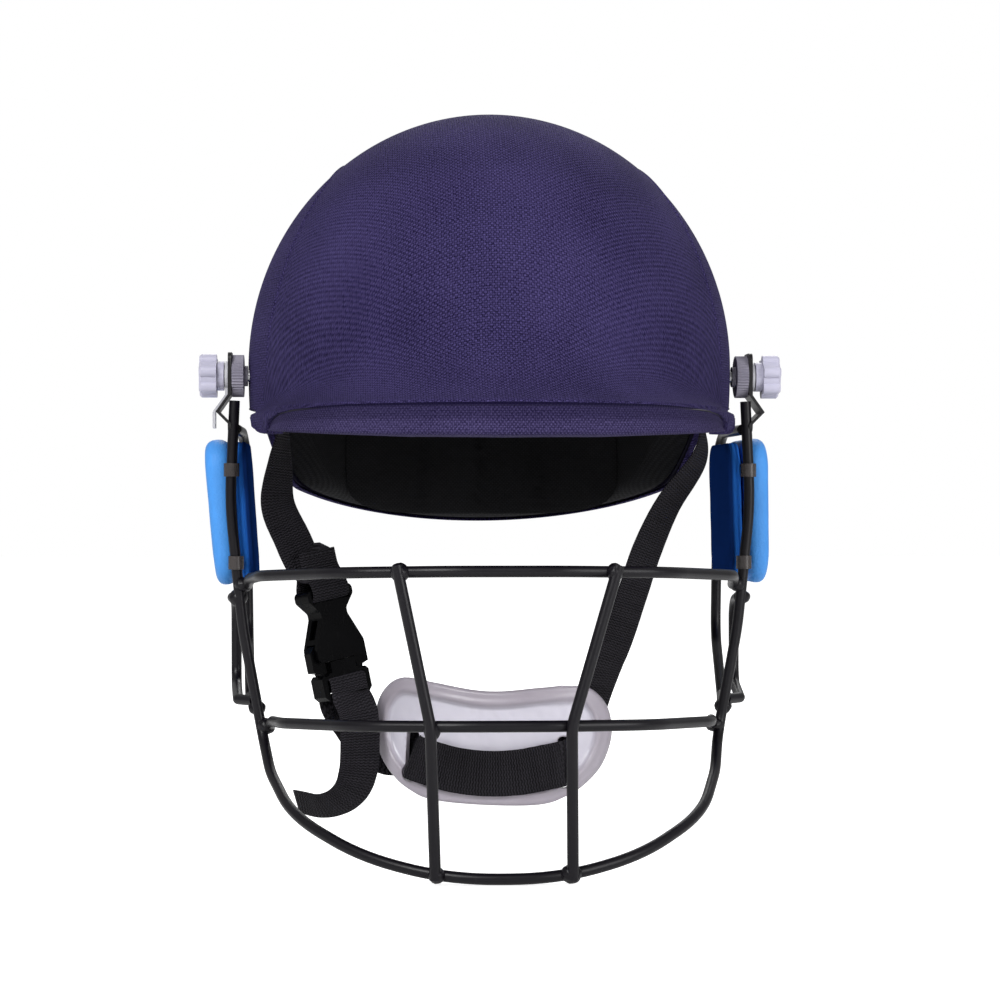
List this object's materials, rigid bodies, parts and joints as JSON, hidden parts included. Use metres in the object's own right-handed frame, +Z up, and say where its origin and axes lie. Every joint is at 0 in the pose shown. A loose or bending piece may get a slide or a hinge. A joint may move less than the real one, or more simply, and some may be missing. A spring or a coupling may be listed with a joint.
{
  "type": "cricket helmet",
  "caption": "Cricket helmet: cloth-covered shell with peak, tilting wire face guard on side studs, ear guards, and chin strap with cup and side-release buckle.",
  "frame": {"origin": "centre of the head ring, the level where the shell is widest", "axes": "+Z up through the crown, the face looks along -Y, +X towards the wearer's left"},
  "size_m": [0.262, 0.2972, 0.3328],
  "materials": {
    "shell_plastic": "moulded, semi-matte",
    "navy_cloth": "plain woven cloth",
    "lining": "fine black knit over foam",
    "liner_foam": "closed-cell foam, matt",
    "steel": "turned",
    "grey_plastic": "moulded, matt",
    "pale_plastic": "moulded, semi-gloss",
    "black_wire": "powder-coated, semi-gloss",
    "black_plate": "powder-coated, worn bright at edges",
    "blue_guard": "moulded, fine texture",
    "dark_blue_panel": "moulded, matt",
    "clear_clip": "translucent grey-brown",
    "webbing": "ribbed narrow weave",
    "black_plastic": "moulded, satin",
    "cup_plastic": "translucent, glossy",
    "cup_foam": "soft foam"
  },
  "bodies": {
    "helmet": {"outer_shell": "shell_plastic", "cloth_cover": "navy_cloth", "peak_lip": "navy_cloth", "foam_liner": "liner_foam", "brow_pad": "lining", "rear_pad": "lining", "crown_pad": "lining", "left_side_pad": "lining", "right_side_pad": "lining", "left_pivot_stud": "steel", "right_pivot_stud": "steel", "left_strap_anchor": "steel", "right_strap_anchor": "steel"},
    "grille": {"chin_hoop": "black_wire", "eye_bar": "black_wire", "mouth_bar": "black_wire", "left_side_plate": "black_plate", "left_tab_washer": "grey_plastic", "left_upright": "black_wire", "left_rear_stay": "black_wire", "left_jaw_loop": "black_wire", "left_ear_guard": "blue_guard", "left_ear_panel": "dark_blue_panel", "left_guard_clips": "clear_clip", "left_guard_rivets": "steel", "right_side_plate": "black_plate", "right_tab_washer": "grey_plastic", "right_upright": "black_wire", "right_rear_stay": "black_wire", "right_jaw_loop": "black_wire", "right_ear_guard": "blue_guard", "right_ear_panel": "dark_blue_panel", "right_guard_clips": "clear_clip", "right_guard_rivets": "steel"},
    "left_knob": {"left_thumb_knob": "pale_plastic"},
    "right_knob": {"right_thumb_knob": "pale_plastic"},
    "left_wheel": {"left_toothed_wheel": "grey_plastic"},
    "right_wheel": {"right_toothed_wheel": "grey_plastic"},
    "chin_strap": {"right_strap": "webbing", "buckle_socket": "black_plastic", "left_strap": "webbing"},
    "buckle_release": {"buckle_plug": "black_plastic", "chin_cup": "cup_plastic", "chin_cup_pad": "cup_foam", "cup_strap": "webbing", "strap_tail": "webbing"},
    "left_prong": {"left_buckle_prong": "black_plastic"},
    "right_prong": {"right_buckle_prong": "black_plastic"}
  },
  "joints": [
    {"name": "grille_tilt", "type": "hinge", "parent": "helmet", "child": "grille", "pos_m": [0, -0.015, -0.0042], "axis": [1, 0, 0], "range_deg": [-12, 8]},
    {"name": "left_knob_turn", "type": "hinge", "parent": "helmet", "child": "left_knob", "pos_m": [0, -0.015, -0.0042], "axis": [1, 0, 0], "continuous": true},
    {"name": "left_wheel_turn", "type": "hinge", "parent": "helmet", "child": "left_wheel", "pos_m": [0, -0.015, -0.0042], "axis": [1, 0, 0], "continuous": true},
    {"name": "right_knob_turn", "type": "hinge", "parent": "helmet", "child": "right_knob", "pos_m": [0, -0.015, -0.0042], "axis": [1, 0, 0], "continuous": true},
    {"name": "right_wheel_turn", "type": "hinge", "parent": "helmet", "child": "right_wheel", "pos_m": [0, -0.015, -0.0042], "axis": [1, 0, 0], "continuous": true},
    {"name": "chin_strap_swing", "type": "hinge", "parent": "helmet", "child": "chin_strap", "pos_m": [0, -0.034, -0.012], "axis": [1, 0, 0], "range_deg": [-8, 40]},
    {"name": "buckle_slide", "type": "slide", "parent": "chin_strap", "child": "buckle_release", "axis": [0.1994, 0, -0.9799], "range_m": [0, 0.024]},
    {"name": "left_prong_squeeze", "type": "hinge", "parent": "buckle_release", "child": "left_prong", "pos_m": [-0.0605, -0.02766, -0.13339], "axis": [0.6033, -0.788, 0.1227], "range_deg": [0, 8.1]},
    {"name": "right_prong_squeeze", "type": "hinge", "parent": "buckle_release", "child": "right_prong", "pos_m": [-0.07641, -0.04034, -0.13663], "axis": [0.6033, -0.788, 0.1227], "range_deg": [-8.1, 0]}
  ],
  "couplings": [
    {"joint": "left_prong_squeeze", "follows": "buckle_slide", "rad_per_m": 5.82},
    {"joint": "right_prong_squeeze", "follows": "buckle_slide", "rad_per_m": -5.82}
  ]
}
